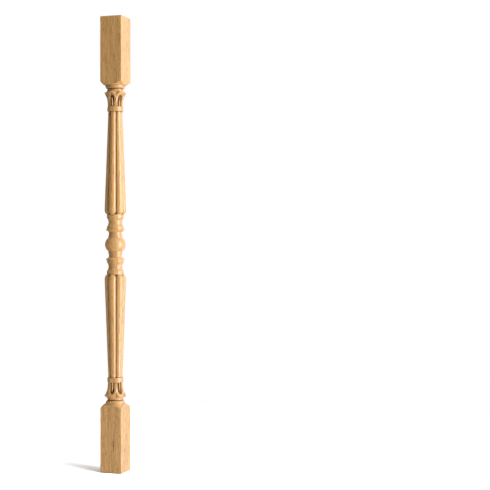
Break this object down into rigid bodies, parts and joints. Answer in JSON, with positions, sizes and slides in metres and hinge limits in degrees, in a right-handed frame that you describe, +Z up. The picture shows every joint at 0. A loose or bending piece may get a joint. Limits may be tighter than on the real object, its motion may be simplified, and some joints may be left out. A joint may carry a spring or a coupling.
{
  "type": "wooden baluster",
  "caption": "Turned and carved oak stair baluster: square end blocks, leaf capitals, tapering reeded shafts and a ball between ring mouldings at the middle.",
  "frame": {"origin": "centre of the underside of the lower square block, where the baluster stands", "axes": "+Z up along the baluster's axis, towards the upper block; -Y is out of a block face with a reed centred under it, +X out of a block face with a crease between two reeds centred under it"},
  "size_m": [0.045, 0.045, 0.9],
  "materials": {
    "oak": "pale oak, turned, carved and sanded, with a clear satin finish"
  },
  "bodies": {
    "root": {"baluster": "oak"}
  },
  "joints": []
}
